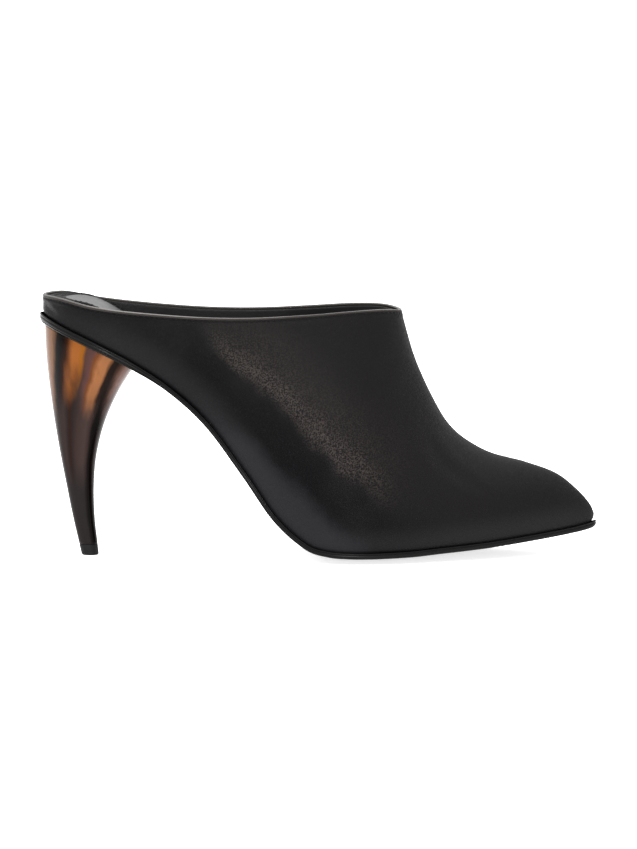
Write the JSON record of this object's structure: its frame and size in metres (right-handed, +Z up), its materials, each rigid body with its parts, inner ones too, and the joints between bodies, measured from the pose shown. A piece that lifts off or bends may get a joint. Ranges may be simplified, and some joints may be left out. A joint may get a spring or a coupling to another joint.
{
  "type": "mule shoe",
  "caption": "High-heeled mule with a closed almond toe, a hollow leather upper open at the collar, a thin sole and a horn-shaped heel.",
  "frame": {"origin": "on the floor under the middle of the shoe's box", "axes": "+X to the toe, +Z up, -Y to the outer (little-toe) side of a right foot"},
  "size_m": [0.2226, 0.075, 0.1051],
  "materials": {
    "upper_leather": "smooth black calf with a soft sheen",
    "sole": "black leather sole with a waxed edge",
    "footbed": "black lining leather, stitched",
    "resin": "polished tortoiseshell resin, amber and dark brown streaks",
    "rubber": "black heel lift"
  },
  "bodies": {
    "root": {"upper": "upper_leather", "outsole": "sole", "insole": "footbed", "heel": "resin", "top_piece": "rubber"}
  },
  "joints": []
}
